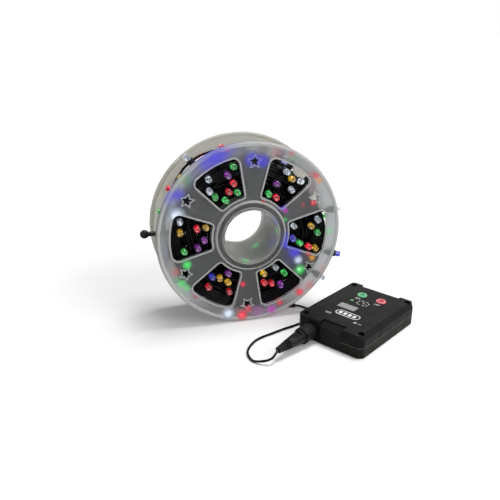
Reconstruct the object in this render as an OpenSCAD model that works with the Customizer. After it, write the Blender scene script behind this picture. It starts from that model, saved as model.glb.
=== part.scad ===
// LED string lights wound on an open plastic reel, with a battery box that drives them.
// Millimetres, +Z up. The origin is the middle of the reel's hub bore and +Y runs along it.

/* [Reel] */
// outer diameter of both flanges
reel_d = 160; // [150:1:175]
// width over the two rims
reel_w = 48; // [46:1:56]
// how far the hub's ends stand out past the rims
hub_proud = 2; // [1:0.5:4]
// radius of the hub bore
bore_r = 23; // [19:0.5:24]
// wall of the hub tube
hub_wall = 2.4; // [1.6:0.2:3]
// wall of the flange sleeve around the hub tube
sleeve_wall = 4.5; // [3.5:0.1:5]
// thickness of the flange plate
plate_t = 2.4; // [1.8:0.2:3]
// radius of the round rim bead
rim_r = 2; // [1.6:0.1:2.4]
// angle of the spokes, turned from +X
spoke_phase = 87; // [80:1:95]
// angle by which the rear flange is turned from the front one
rear_turn = 13; // [0:1:30]
// angle each spoke takes up
spoke_angle = 23.5; // [20:0.5:26]
// length of a star's points, outside
star_r = 6.9; // [5:0.1:7.5]

/* [String] */
// diameter of the cable
cable_d = 2; // [1.6:0.1:2.2]
// how far inside the rim the outermost turns lie, at the cable's middle
rim_margin = 19; // [18:0.5:21]
// half the distance between the two faces of the winding
wind_half = 13.5; // [12.5:0.25:14]
// radius of a bulb holder
holder_r = 3.1; // [2.9:0.1:3.3]
// length of a bulb holder on the outermost turns
holder_len = 9; // [8:0.5:10]
// length of a bulb holder that stands clear of the winding's faces
face_holder_len = 5; // [4.5:0.5:7]
// radius of a bulb's lens
lens_r = 2.5; // [2.3:0.1:2.6]
// length of lens that shows
lens_out = 5; // [4:0.5:6]

/* [Battery box] */
// length from the plug's face to the back edge
box_l = 86; // [84:1:96]
// width along the plug's face
box_w = 64; // [63:1:74]
// height
box_h = 20; // [20:0.5:24]
// wall
wall = 2; // [1.6:0.1:2.2]
// thickness of the door
door_t = 1.8; // [1.4:0.1:2]
// radius of a push button
button_r = 4.4; // [3.6:0.1:4.8]
// travel of a push button
button_travel = 0.8; // [0.5:0.1:1]
// room over the cells
cell_head = 1.1; // [1:0.1:1.6]
// room at each end of a cell
cell_room = 6.75; // [6.5:0.25:8]

/* [Connector] */
// radius of the coupling nut
nut_r = 7; // [6.8:0.1:7.2]
// radius of the socket's barrel
barrel_r = 5; // [4.8:0.1:5.2]
// length of the ribbed strain relief
relief_len = 14; // [11:0.5:18]

/* [Hidden] */
$fn = 48;
e = 0.01;
// gap between two fixed faces
gap = 0.1;
// gap round a piece that slides or swings
loose = 0.3;
// radial gap of a turning fit
turn_gap = 0.08;

reel_r = reel_d / 2;
floor_z = -reel_r;
hub_r = bore_r + hub_wall;
hub_half = reel_w / 2 + hub_proud;
sleeve_in = hub_r + gap;
sleeve_r = sleeve_in + sleeve_wall;
plate_mid = reel_w / 2 - rim_r;
plate_in = plate_mid - plate_t / 2;
plate_out = plate_mid + plate_t / 2;
bead = 1.4;
bead_h = 0.7;
win_in = sleeve_r + 4;
win_out = reel_r - 12;
win_half = 30 - spoke_angle / 2;
star_at = reel_r - 16.5;

cable_r = cable_d / 2;
wind_r = reel_r - rim_margin;
rings_per_turn = 24;
core_in = sleeve_r + 0.5 + cable_d + 0.4;
core_out = wind_r * cos(180 / rings_per_turn) - cable_r - gap;
core_half = wind_half - cable_r - gap;
cross_r = sleeve_r + 0.5 + cable_r;
face_in = core_in + 1.4;
face_turns = 7;
pitch = 2 * wind_half / face_turns;
tail_turns = 2 + 82 / 360;
end_turns = 4;
tail_angle = 178;
turn_marks = [tail_turns, tail_turns + face_turns, tail_turns + face_turns + 1,
              tail_turns + 2 * face_turns + 1, tail_turns + 2 * face_turns + 1 + end_turns];

cap_len = 24;
cap_neck_r = 2.1;
cap_ball_r = 3.7;

face_seat = wind_half + cable_r + 0.2;
rim_seat = wind_r + cable_r + 0.2;

box_x = 31;
box_y = -57.5;
box_yaw = 33;
split_z = 9;
seal_t = 0.8;
corner = 4;
ear = 4;
ceiling = box_h - wall;
inner_l = box_l - ear - wall;
screw_in = 6;
screw_side = 5;
boss_r = 3.4;
screw_r = 1.4;
head_r = 2.5;
head_z = ceiling - 6;
door_z = 0.4;
door_top = door_z + door_t;
door_side = wall + 0.7;
cell_gap = 0.2;
cell_r = (ceiling - door_top - cell_gap - cell_head) / 2;
cell_first = 9.2;
cell_step = 2 * cell_r + cell_gap;
cell_z = door_top + cell_gap + cell_r;
plate_up = ceiling - 4.35 - cell_z;
rail_top = door_top + loose + 1.5;
plate_down = cell_z - rail_top - 0.65;
plate_half = cell_r - 2.25;
cell_len = box_w - 2 * cell_room;
cells_to = cell_first + 3 * cell_step;
hinge_x = cells_to + 1.3;
hinge_z = door_z + 1.5;
knuckle_r = 1.5;
pin_r = 0.8;
floor_from = hinge_x + knuckle_r + loose;
latch_mid = box_w / 2 + 2;
latch_w = 20;
latch_top = box_h - 4;
board_z = ceiling - 6;
board_t = 1.2;
board_from = cells_to + 2.5;
board_to = inner_l - 1;
board_mid = (board_from + board_to) / 2;
button_x = board_mid - 2.4;
button_y = [23, 42];
indicator_x = button_x - 14;
indicator_y = button_y[0] - 1.5;
receiver_x = button_x - 27;
receiver_y = button_y[0] + 2.5;
receiver_l = 8;
receiver_w = 17;
dome_h = 0.4;
plug_side = 15;
plug_z = 9;

barrel_len = 6.8;
ring_r = 0.65;
shoulder_z = barrel_len + 2 * ring_r + 0.1;
shoulder_t = 1.6;
shoulder_r = barrel_r + 0.9;
neck_z = shoulder_z + shoulder_t;
neck_r = barrel_r - 0.5;
nut_end = neck_z + 2;
nose_r = barrel_r - 1.3;
grip_z = nut_end + 0.2;
grip_end = grip_z + 17;
relief_end = grip_end + relief_len;

// bulbs in a window: degrees from the window's middle and mm from the axis
front_red = [[0, -10, 49], [0, -1, 43], [1, -3, 39], [2, -13, 54], [3, -12, 48], [3, -4, 50], [4, -8, 58],
             [4, 13, 54], [5, -10, 47]];
front_green = [[0, -13, 61], [0, 12, 46], [0, 7, 39], [0, -11, 39], [1, 9, 39], [2, -12, 45], [2, 0, 61],
               [3, 12, 48], [5, 13, 58]];
front_blue = [[2, -6, 39], [4, -12, 49]];
front_yellow = [[1, -4, 58], [2, 6, 55], [2, -13, 61], [3, -10, 39], [4, -3, 45], [4, 6, 46], [5, -11, 39],
                [5, -5, 60]];
front_white = [[0, 7, 61], [0, 13, 54], [1, -12, 61], [1, -11, 52], [1, 3, 61], [2, 9, 39], [2, 12, 61],
               [3, 7, 39], [5, -13, 61]];
front_purple = [[0, -7, 57], [1, 5, 48], [3, 3, 56], [4, 1, 39], [5, 5, 39], [5, 11, 46]];
// bulbs at the back: the same measures
rear_red = [[0, -9, 41], [1, 8, 45], [2, -9, 56], [3, 8, 61]];
rear_green = [[0, 8, 45], [1, -9, 56], [2, 8, 61], [4, -9, 41]];
rear_blue = [[0, -9, 56], [1, 8, 61], [3, -9, 41], [4, 8, 45]];
rear_yellow = [[0, 8, 61], [2, -9, 41], [3, 8, 45], [4, -9, 56]];
rear_white = [[1, -9, 41], [2, 8, 45], [3, -9, 56], [5, 8, 61]];
rear_purple = [[4, 8, 61], [5, -9, 41], [5, 8, 45], [5, -9, 56]];
// bulbs standing on the outermost turns: degrees from +X and mm along the axis
rim_red = [[105, 0], [150, 5], [38, -12], [-52, -12], [-68, -12], [-96, -12], [232, -8], [30, 8]];
rim_green = [[166, 4], [4, -5], [-148, -12], [50, 4]];
rim_blue = [[-20, -10, 16], [113, -11], [92, -12], [-122, 6]];
rim_yellow = [[75, 6], [215, 0], [138, -7]];
rim_white = [[126, 2, 6], [10, -10, 11.5], [-36, -10, 15], [-46, 8]];
rim_purple = [[66, -9], [-78, -12], [200, 8]];
// bulbs lean a little, each its own way
lean = 6;

// small helpers

function unit(v) = v / norm(v);
function smooth(t) = t <= 0 ? 0 : t >= 1 ? 1 : t * t * (3 - 2 * t);
function square_to(v, t) = unit(v - (v * t) * t);

// a closed tube of flat triangles round a list of middle points, one side vector at each
function ring_points(p, t, n, r, sides) =
    [for (k = [0 : sides - 1]) p + r * (cos(360 * k / sides) * n + sin(360 * k / sides) * cross(t, n))];
function tube_points(ps, ts, ns, r, sides) =
    [for (i = [0 : len(ps) - 1]) each ring_points(ps[i], ts[i], ns[i], r, sides)];
function tube_faces(rings, sides) = concat(
    [for (i = [0 : rings - 2]) for (k = [0 : sides - 1]) each [
        [i * sides + k, (i + 1) * sides + k, (i + 1) * sides + (k + 1) % sides],
        [i * sides + k, (i + 1) * sides + (k + 1) % sides, i * sides + (k + 1) % sides]]],
    [for (k = [1 : sides - 2]) [0, k, k + 1]],
    [for (k = [1 : sides - 2]) [(rings - 1) * sides, (rings - 1) * sides + k + 1, (rings - 1) * sides + k]]);

// the winding: its middle at s turns from the string's tail

function wind_angle(s) = tail_angle + 360 * s;
function wind_radius(s) =
    s < turn_marks[0] ? wind_r :
    s < turn_marks[1] ? wind_r - (wind_r - face_in) * (s - turn_marks[0]) / face_turns :
    s < turn_marks[2] ? face_in - (face_in - cross_r) * (smooth((s - turn_marks[1]) / 0.25)
                        - smooth((s - turn_marks[1] - 0.75) / 0.25)) :
    s < turn_marks[3] ? face_in + (wind_r - face_in) * (s - turn_marks[2]) / face_turns : wind_r;
function wind_side(s) =
    s < turn_marks[0] ? -wind_half + pitch * (turn_marks[0] - s) :
    s < turn_marks[1] ? -wind_half :
    s < turn_marks[2] ? -wind_half + 2 * wind_half * smooth((s - turn_marks[1] - 0.25) / 0.5) :
    s < turn_marks[3] ? wind_half : wind_half - pitch * (s - turn_marks[3]);
function out_way(a) = [cos(a), 0, sin(a)];
function wind_point(s) = wind_radius(s) * out_way(wind_angle(s)) + [0, wind_side(s), 0];
function wind_way(s) = unit(wind_point(s + 0.002) - wind_point(s - 0.002));

total_turns = turn_marks[4];
wind_count = round(total_turns * rings_per_turn);
wind_s = [for (i = [0 : wind_count]) total_turns * i / wind_count];
tail_way = unit(wind_point(0.004) - wind_point(0));
lead_way = unit(wind_point(total_turns) - wind_point(total_turns - 0.004));
wind_mid = concat([wind_point(0) - cable_d * tail_way], [for (s = wind_s) wind_point(s)],
                  [wind_point(total_turns) + cable_d * lead_way]);
wind_ways = concat([tail_way, tail_way], [for (i = [1 : wind_count - 1]) wind_way(wind_s[i])], [lead_way, lead_way]);
wind_angles = concat([wind_angle(0)], [for (s = wind_s) wind_angle(s)], [wind_angle(total_turns)]);
wind_sides = [for (i = [0 : len(wind_mid) - 1]) square_to(out_way(wind_angles[i]), wind_ways[i])];
lead_start = wind_mid[len(wind_mid) - 1];

// least gap of the winding to itself, between rings at least a third of a turn apart
wind_gap = min([for (i = [0 : 2 : len(wind_mid) - 9])
    min([for (j = [i + 8 : 1 : min(i + 60, len(wind_mid) - 1)]) norm(wind_mid[i] - wind_mid[j])])]) - cable_d;
wind_gap_far = min([for (i = [0 : 3 : len(wind_mid) - 9])
    min([for (j = [i + 8 : 3 : len(wind_mid) - 1]) norm(wind_mid[i] - wind_mid[j])])]) - cable_d;

// the lead: from the winding down to the floor, out past the box's corner, round and back to the plug

box_way = [cos(box_yaw), sin(box_yaw), 0];
side_way = [sin(box_yaw), -cos(box_yaw), 0];
plug_root = [box_x, box_y, floor_z + plug_z] + plug_side * side_way;
plug_tip = plug_root - relief_end * box_way;
lead_z = floor_z + cable_r + 0.05;
// places of the lead on the floor, the third number its rise
lead_floor = [[32, -6, 2.2], [41.5, -9, 1.45], [50, -12.2, 0.75], [56, -19, 0], [55.5, -28, 0], [48.5, -37, 0], [36, -44, 0],
              [24, -48, 0], [11, -53, 0], [-1, -58, 0], [-9, -64, 0], [-16, -74, 0], [-18, -84, 0], [-15, -93, 0.5]];
lead_mid = concat(
    [lead_start - 8 * lead_way, lead_start, lead_start + 8 * lead_way],
    [[12, lead_start[1], floor_z + 12], [22, -3, floor_z + 7.5]],
    [for (p = lead_floor) [p[0], p[1], lead_z + p[2]]],
    [plug_tip - 9 * box_way - [0, 0, plug_z * 0.45], plug_tip, plug_tip + 9 * box_way]);
function spline(p, i, t) = 0.5 * (2 * p[i] + t * (p[i + 1] - p[i - 1])
    + t * t * (2 * p[i - 1] - 5 * p[i] + 4 * p[i + 1] - p[i + 2])
    + t * t * t * (3 * p[i] - p[i - 1] - 3 * p[i + 1] + p[i + 2]));
function spline_way(p, i, t) = unit(0.5 * ((p[i + 1] - p[i - 1])
    + 2 * t * (2 * p[i - 1] - 5 * p[i] + 4 * p[i + 1] - p[i + 2])
    + 3 * t * t * (3 * p[i] - p[i - 1] - 3 * p[i + 1] + p[i + 2])));
lead_spans = len(lead_mid) - 3;
lead_steps = 4;
lead_points = concat([for (i = [1 : lead_spans]) for (k = [0 : lead_steps - 1]) spline(lead_mid, i, k / lead_steps)],
                     [plug_tip]);
lead_ways = concat([for (i = [1 : lead_spans]) for (k = [0 : lead_steps - 1]) spline_way(lead_mid, i, k / lead_steps)],
                   [box_way]);
lead_sides = [for (t = lead_ways) square_to([0, 0, 1], t)];
lead_len = [for (i = [1 : len(lead_points) - 1]) norm(lead_points[i] - lead_points[i - 1])] * [for (i = [1 : len(lead_points) - 1]) 1];
echo(winding_gap = wind_gap, winding_gap_far = wind_gap_far, winding_turns = total_turns, lead_length = lead_len);

// reel

// a window: a ring sector with round corners, grown by g
module window(g = 0) {
    r1 = win_in - g;
    r2 = win_out + g;
    c1 = 2.5 + g;
    c2 = 5 + g;
    shift = g / sin(win_half);
    far = 2 * reel_r;
    // angle of the corner circles' middles
    a1 = win_half + asin((g - c1) / (r1 + c1));
    a2 = win_half + asin((g - c2) / (r2 - c2));
    t1 = sqrt(pow(r1 + c1, 2) - pow(c1 - g, 2));
    t2 = sqrt(pow(r2 - c2, 2) - pow(c2 - g, 2));
    // between the corners, as wide as the window is
    intersection() {
        difference() {
            circle(t2);
            circle(t1);
        }
        translate([-shift, 0]) polygon([[0, 0], [far * cos(win_half), far * sin(win_half)], [far * cos(win_half), -far * sin(win_half)]]);
    }
    // out to the round edges
    intersection() {
        difference() {
            circle(r2);
            circle((r1 + r2) / 2);
        }
        polygon([[0, 0], [far * cos(a2), far * sin(a2)], [far * cos(a2), -far * sin(a2)]]);
    }
    intersection() {
        difference() {
            circle((r1 + r2) / 2 + 1);
            circle(r1);
        }
        polygon([[0, 0], [far * cos(a1), far * sin(a1)], [far * cos(a1), -far * sin(a1)]]);
    }
    for (s = [-1, 1]) {
        translate([(r1 + c1) * cos(a1), s * (r1 + c1) * sin(a1)]) circle(c1);
        translate([(r2 - c2) * cos(a2), s * (r2 - c2) * sin(a2)]) circle(c2);
    }
}

module star(r) {
    polygon([for (i = [0 : 9]) (i % 2 == 0 ? r : 0.5 * r) * [cos(36 * i), sin(36 * i)]]);
}

// one flange, its outside up, the reel's middle at z = 0
module flange() {
    difference() {
        union() {
            rotate_extrude() {
                translate([sleeve_in, gap]) square([sleeve_wall, hub_half - 1 - gap]);
                translate([sleeve_r - 1, plate_in]) square([reel_r - rim_r - sleeve_r + 1, plate_t]);
                translate([reel_r - rim_r, plate_mid]) circle(rim_r);
                translate([sleeve_r, plate_out]) circle(0.9);
            }
            for (k = [0 : 5]) rotate(spoke_phase + 30 + 60 * k)
                translate([0, 0, plate_out - 0.3]) linear_extrude(0.3 + bead_h) window(bead);
            for (k = [0 : 5]) rotate(spoke_phase + 60 * k) translate([star_at, 0, plate_out - 0.3])
                linear_extrude(0.3 + bead_h) star(star_r);
        }
        for (k = [0 : 5]) rotate(spoke_phase + 30 + 60 * k)
            translate([0, 0, plate_in - 1]) linear_extrude(plate_t + bead_h + 2) window();
        for (k = [0 : 5]) rotate(spoke_phase + 60 * k) translate([star_at, 0, plate_in - 1])
            linear_extrude(plate_t + bead_h + 2) star(0.7 * star_r);
    }
}

module front_flange() color([0.86, 0.85, 0.8, 0.7]) rotate([90, 0, 0]) flange();
module rear_flange() color([0.86, 0.85, 0.8, 0.7]) rotate([0, -rear_turn, 0]) mirror([0, 1, 0]) rotate([90, 0, 0]) flange();

module hub_tube() color([0.8, 0.8, 0.77, 0.7]) rotate([90, 0, 0]) rotate_extrude()
    polygon([[bore_r, -hub_half], [hub_r - 0.6, -hub_half], [hub_r, -hub_half + 0.6], [hub_r, hub_half - 0.6],
             [hub_r - 0.6, hub_half], [bore_r, hub_half]]);

// string

module cable_core() color([0.06, 0.06, 0.06]) rotate([90, 0, 0]) rotate_extrude()
    translate([core_in, -core_half]) square([core_out - core_in, 2 * core_half]);

module cable_winding() color([0.05, 0.05, 0.05])
    polyhedron(tube_points(wind_mid, wind_ways, wind_sides, cable_r, 6), tube_faces(len(wind_mid), 6), 10);

// where the lead is joined to the string
sleeve_at = 6;
module lead_sleeve() color([0.05, 0.05, 0.05]) {
    t = spline_way(lead_mid, sleeve_at, 0);
    translate(lead_mid[sleeve_at]) rotate([0, acos(t[2]), atan2(t[1], t[0])]) rotate_extrude()
        polygon([[cable_r + 0.25, -5], [cable_r + 0.7, -5], [2.1, -3.6], [2.1, 3.6], [cable_r + 0.7, 5], [cable_r + 0.25, 5]]);
}

module lead_cable() color([0.05, 0.05, 0.05])
    polyhedron(tube_points(lead_points, lead_ways, lead_sides, cable_r, 8), tube_faces(len(lead_points), 8), 10);

// the string's closed end: a neck and a ball
module string_end_cap() color([0.05, 0.05, 0.05])
    translate([0, wind_side(0), 0]) rotate([0, 90 - tail_angle, 0]) translate([0, 0, rim_seat]) rotate_extrude()
        union() {
            square([cap_neck_r, cap_len]);
            intersection() {
                translate([0, cap_len + 1]) circle(cap_ball_r);
                translate([0, cap_len / 2]) square(cap_len);
            }
        }

// the bulb lists hold for turns from 34.3 to 61 mm, and 13.5 mm to each side
function face_place(m) = face_in + (m - 34.3) / 26.7 * (wind_r - face_in);
function rim_place(m) = m / 13.5 * wind_half;

// stands its child on the front face, the back face or the outermost turns
module on_front(b, i) {
    r = face_place(b[2]);
    a = spoke_phase + 30 + 60 * window_of(b[0]) + b[1];
    translate([r * cos(a), -face_seat, r * sin(a)]) rotate([90, 0, 0]) leaning(i) children();
}
module on_rear(b, i) {
    r = face_place(b[2]);
    a = spoke_phase + rear_turn + 30 + 60 * window_of(b[0]) + b[1];
    translate([r * cos(a), face_seat, r * sin(a)]) rotate([-90, 0, 0]) leaning(i) children();
}
module on_rim(b, i) {
    translate([0, rim_place(b[1]), 0]) rotate([0, 90 - b[0], 0]) translate([0, 0, rim_seat + stand_of(b)]) leaning(i) children();
}
// how far a bulb stands off the outermost turns
function stand_of(b) = len(b) > 2 ? b[2] : 0;
// windows are counted clockwise from the upper left one
function window_of(k) = -k;
module leaning(i) {
    translate([0, 0, 2 * sin(lean)]) rotate([0, 0, 137 * i]) rotate([lean, 0, 0]) children();
}

// l is the holder's length
module holder(l) rotate_extrude()
    polygon([[0, 0], [2, 0], [holder_r, 0.29 * l], [holder_r, l], [lens_r + gap, l],
             [lens_r + gap, l - 2], [1.3, l - 2], [1.3, l / 3], [0, l / 3]]);

module lens(l) translate([0, 0, l - 2]) rotate_extrude()
    polygon([[1.2, 0], [lens_r, 0], [lens_r, lens_out + 1.7], [lens_r - 0.3, lens_out + 2], [1.7, lens_out + 2],
             [0, lens_out + 1], [0, 3.2], [1.2, 3.2]]);

module led_frame(l) rotate_extrude()
    polygon([[0, l / 3 + gap], [1, l / 3 + gap], [1, l + 0.9], [0.7, l + 0.9], [0, l + 0.4]]);

module each_bulb(front, rear, rim, seed) {
    for (i = [0 : len(front) - 1]) on_front(front[i], i + seed) children();
    for (i = [0 : len(rear) - 1]) on_rear(rear[i], i + seed) children();
    for (i = [0 : len(rim) - 1]) on_rim(rim[i], i + seed) children();
}

module all_front() {
    each_bulb(front_red, [], [], 0) children();
    each_bulb(front_green, [], [], 9) children();
    each_bulb(front_blue, [], [], 18) children();
    each_bulb(front_yellow, [], [], 27) children();
    each_bulb(front_white, [], [], 36) children();
    each_bulb(front_purple, [], [], 45) children();
}
module all_rear() {
    each_bulb([], rear_red, [], 0) children();
    each_bulb([], rear_green, [], 9) children();
    each_bulb([], rear_blue, [], 18) children();
    each_bulb([], rear_yellow, [], 27) children();
    each_bulb([], rear_white, [], 36) children();
    each_bulb([], rear_purple, [], 45) children();
}
module all_rim() {
    each_bulb([], [], rim_red, 0) children();
    each_bulb([], [], rim_green, 9) children();
    each_bulb([], [], rim_blue, 18) children();
    each_bulb([], [], rim_yellow, 27) children();
    each_bulb([], [], rim_white, 36) children();
    each_bulb([], [], rim_purple, 45) children();
}

module front_bulb_holders() color([0.05, 0.05, 0.05]) all_front() holder(face_holder_len);
module rear_bulb_holders() color([0.05, 0.05, 0.05]) all_rear() holder(face_holder_len);
module rim_bulb_holders() color([0.05, 0.05, 0.05]) {
    all_rim() holder(holder_len);
    stems(rim_blue, 18);
    stems(rim_white, 36);
}
// the twisted wires under a bulb that stands off
module stems(list, seed) for (i = [0 : len(list) - 1]) if (stand_of(list[i]) > 0)
    on_rim(list[i], i + seed) translate([0, 0, -stand_of(list[i])]) cylinder(r = 1.5, h = stand_of(list[i]) + 0.5);
module red_lenses() color([0.9, 0.1, 0.08]) {
    each_bulb(front_red, rear_red, [], 0) lens(face_holder_len);
    each_bulb([], [], rim_red, 0) lens(holder_len);
}
module green_lenses() color([0.1, 0.8, 0.25]) {
    each_bulb(front_green, rear_green, [], 9) lens(face_holder_len);
    each_bulb([], [], rim_green, 9) lens(holder_len);
}
module blue_lenses() color([0.1, 0.25, 0.9]) {
    each_bulb(front_blue, rear_blue, [], 18) lens(face_holder_len);
    each_bulb([], [], rim_blue, 18) lens(holder_len);
}
module yellow_lenses() color([0.95, 0.8, 0.1]) {
    each_bulb(front_yellow, rear_yellow, [], 27) lens(face_holder_len);
    each_bulb([], [], rim_yellow, 27) lens(holder_len);
}
module white_lenses() color([0.92, 0.92, 0.9]) {
    each_bulb(front_white, rear_white, [], 36) lens(face_holder_len);
    each_bulb([], [], rim_white, 36) lens(holder_len);
}
module purple_lenses() color([0.5, 0.15, 0.7]) {
    each_bulb(front_purple, rear_purple, [], 45) lens(face_holder_len);
    each_bulb([], [], rim_purple, 45) lens(holder_len);
}
module front_led_frames() color([0.8, 0.8, 0.8]) all_front() led_frame(face_holder_len);
module rim_led_frames() color([0.8, 0.8, 0.8]) all_rim() led_frame(holder_len);
module rear_led_frames() color([0.8, 0.8, 0.8]) all_rear() led_frame(face_holder_len);

// battery box: x runs from the plug's face to the back edge, y from the reel's side to the near side as -y

module in_box() translate([box_x, box_y, floor_z]) rotate([0, 0, box_yaw]) children();
module at_screws() for (x = [screw_in, box_l - screw_in]) for (y = [screw_side, box_w - screw_side])
    translate([x, -y, 0]) children();
module box_slab(x1, x2, y1, y2, z1, z2) translate([x1, -y2, z1]) cube([x2 - x1, y2 - y1, z2 - z1]);
module receiver_slab(grow, z1, z2) box_slab(receiver_x - receiver_l / 2 - grow, receiver_x + receiver_l / 2 + grow,
    receiver_y - receiver_w / 2 - grow, receiver_y + receiver_w / 2 + grow, z1, z2);

function flip(ps) = [for (p = ps) [p[0], -p[1]]];
module outer_plan() polygon(flip([[corner, 0], [box_l - corner, 0], [box_l, corner], [box_l, 11], [box_l - ear, 13],
    [box_l - ear, box_w - 15], [box_l, box_w - 13], [box_l, box_w - corner], [box_l - corner, box_w],
    [corner, box_w], [0, box_w - corner], [0, corner]]));
module inner_plan(near) polygon(flip([[corner + 1, wall], [inner_l - 2, wall], [inner_l, wall + 2], [inner_l, near - 2],
    [inner_l - 2, near], [corner + 1, near], [wall, near - 3], [wall, corner + 1]]));

// outside of the whole case
module case_outside() intersection() {
    linear_extrude(box_h) outer_plan();
    translate([-1, 0, 0]) rotate([90, 0, 90]) linear_extrude(box_l + 2)
        polygon([[-box_w, 0], [0, 0], [0, box_h - 0.8], [-0.8, box_h], [-box_w + 3.4, box_h], [-box_w, box_h - 4.4]]);
    translate([0, 1, 0]) rotate([90, 0, 0]) linear_extrude(box_w + 2)
        polygon([[0, 0], [box_l, 0], [box_l, box_h - 1], [box_l - 1, box_h], [0.6, box_h], [0, box_h - 0.6]]);
}

module socket_hole() translate([-1, -plug_side, plug_z]) rotate([0, 90, 0]) cylinder(r = barrel_r + gap, h = wall + 2);
module latch_slot() box_slab(-1, wall, latch_mid - latch_w / 2 - loose, latch_mid + latch_w / 2 + loose, -1, latch_top + 0.2);

module case_top() color([0.07, 0.07, 0.07]) in_box() difference() {
    union() {
        difference() {
            intersection() {
                case_outside();
                box_slab(-1, box_l + 1, -1, box_w + 1, split_z + seal_t / 2, box_h + 1);
            }
            translate([0, 0, split_z]) linear_extrude(ceiling - 4 - split_z) inner_plan(box_w - wall);
            translate([0, 0, split_z]) linear_extrude(ceiling - split_z) inner_plan(box_w - wall - 3.6);
        }
        at_screws() translate([0, 0, split_z + seal_t / 2]) cylinder(r = boss_r, h = ceiling - split_z - seal_t / 2 + e);
        // wall behind the latch and under the thumb recess
        box_slab(wall - e, wall + 1.4, latch_mid - latch_w / 2 - 2, latch_mid + latch_w / 2 + 2, split_z + seal_t / 2, ceiling + e);
        box_slab(wall - e, 8, latch_mid - latch_w / 2 - 2, latch_mid + latch_w / 2 + 2, box_h - 6, ceiling + e);
    }
    at_screws() {
        cylinder(r = screw_r + gap, h = box_h);
        translate([0, 0, head_z]) cylinder(r = head_r + gap, h = box_h);
    }
    for (y = button_y) translate([button_x, -y, split_z]) cylinder(r = button_r + 0.2, h = box_h);
    translate([indicator_x, -indicator_y, ceiling - 1]) cylinder(r = 1.6, h = wall + 2);
    receiver_slab(gap, ceiling - 1, box_h + 1);
    socket_hole();
    latch_slot();
    // thumb recess, sloping down to the latch
    translate([0, -latch_mid + latch_w / 2 + 1, 0]) rotate([90, 0, 0]) linear_extrude(latch_w + 2)
        polygon([[-1, latch_top], [wall, latch_top], [7, box_h - 1.4], [7, box_h + 1], [-1, box_h + 1]]);
}

module case_base() color([0.06, 0.06, 0.055]) in_box() difference() {
    union() {
        difference() {
            intersection() {
                case_outside();
                box_slab(-1, box_l + 1, -1, box_w + 1, -1, split_z - seal_t / 2);
            }
            translate([0, 0, door_top + loose]) linear_extrude(box_h) inner_plan(box_w - wall);
            // door opening
            box_slab(-1, floor_from, door_side, box_w - door_side, -1, door_top + loose);
        }
        // ledges the door closes against
        for (y = [wall - e, box_w - wall - 2.5]) box_slab(12, hinge_x - 4, y, y + 2.5 + e, door_top + loose, rail_top);
        at_screws() translate([0, 0, door_top + loose]) cylinder(r = boss_r, h = split_z - seal_t / 2 - door_top - loose);
        box_slab(wall - e, wall + 1.4, latch_mid - latch_w / 2 - 2, latch_mid + latch_w / 2 + 2, door_top + loose, split_z - seal_t / 2);
        // hinge knuckles
        for (y = [4, box_w / 2 - 3, box_w - 10]) {
            translate([hinge_x, -y, hinge_z]) rotate([90, 0, 0]) cylinder(r = knuckle_r, h = 6);
            box_slab(hinge_x, floor_from + 1, y, y + 6, hinge_z - knuckle_r, hinge_z);
        }
        // posts under the board
        for (x = [board_from + 2.5, board_to - 3]) for (y = [12, box_w - 12])
            translate([x, -y, door_top]) cylinder(r = 1.8, h = board_z - door_top);
    }
    at_screws() translate([0, 0, door_top + loose + 0.8]) cylinder(r = screw_r + gap, h = box_h);
    socket_hole();
    latch_slot();
    translate([hinge_x, 0, hinge_z]) rotate([90, 0, 0]) cylinder(r = pin_r + 0.02, h = box_w);
}

module case_gasket() color([0.2, 0.2, 0.2]) in_box() difference() {
    translate([0, 0, split_z - seal_t / 2]) linear_extrude(seal_t) difference() {
        outer_plan();
        inner_plan(box_w - wall);
    }
    at_screws() cylinder(r = screw_r + gap, h = box_h);
    // the socket and the latch break the seal in the front wall
    box_slab(-1, wall + 2, plug_side - barrel_r - 0.4, latch_mid + latch_w / 2 + loose, 0, box_h);
}

module case_screws() color([0.6, 0.6, 0.6]) in_box() at_screws() difference() {
    union() {
        translate([0, 0, door_top + loose + 1]) cylinder(r = screw_r, h = head_z - door_top - loose - 1 + 0.5);
        translate([0, 0, head_z]) cylinder(r = head_r, h = 2);
    }
    translate([-0.4, -1.6, head_z + 1.2]) cube([0.8, 3.2, 2]);
    translate([-1.6, -0.4, head_z + 1.2]) cube([3.2, 0.8, 2]);
}

module battery_door() color([0.06, 0.06, 0.055]) in_box() difference() {
    union() {
        box_slab(0.1, hinge_x - knuckle_r - loose, door_side + loose, box_w - door_side - loose, door_z, door_top);
        // latch tab standing in the front wall
        box_slab(0.1, wall - 0.3, latch_mid - latch_w / 2, latch_mid + latch_w / 2, door_z, latch_top);
        for (y = [[10 + loose, box_w / 2 - 3 - loose], [box_w / 2 + 3 + loose, box_w - 10 - loose]]) {
            translate([hinge_x, -y[0], hinge_z]) rotate([90, 0, 0]) cylinder(r = knuckle_r, h = y[1] - y[0]);
            box_slab(hinge_x - knuckle_r - loose - e, hinge_x, y[0], y[1], door_z, min(door_top, hinge_z));
        }
    }
    translate([hinge_x, 1, hinge_z]) rotate([90, 0, 0]) cylinder(r = pin_r + turn_gap, h = box_w + 2);
    // finger grooves in the underside
    for (x = [16, 19, 22, 25]) box_slab(x, x + 1.2, box_w / 2 - 10, box_w / 2 + 10, door_z - 1, door_z + 0.5);
}

module door_hinge_pin() color([0.7, 0.7, 0.7]) in_box()
    translate([hinge_x, -4.2, hinge_z]) rotate([90, 0, 0]) cylinder(r = pin_r, h = box_w - 8.4);

// the nub end is at low y on the first and third cell
module each_cell() for (i = [0 : 2]) translate([cell_first + cell_r + i * cell_step, -box_w / 2, cell_z])
    rotate([0, 0, 180 * (i % 2)]) rotate([-90, 0, 0]) children();

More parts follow.
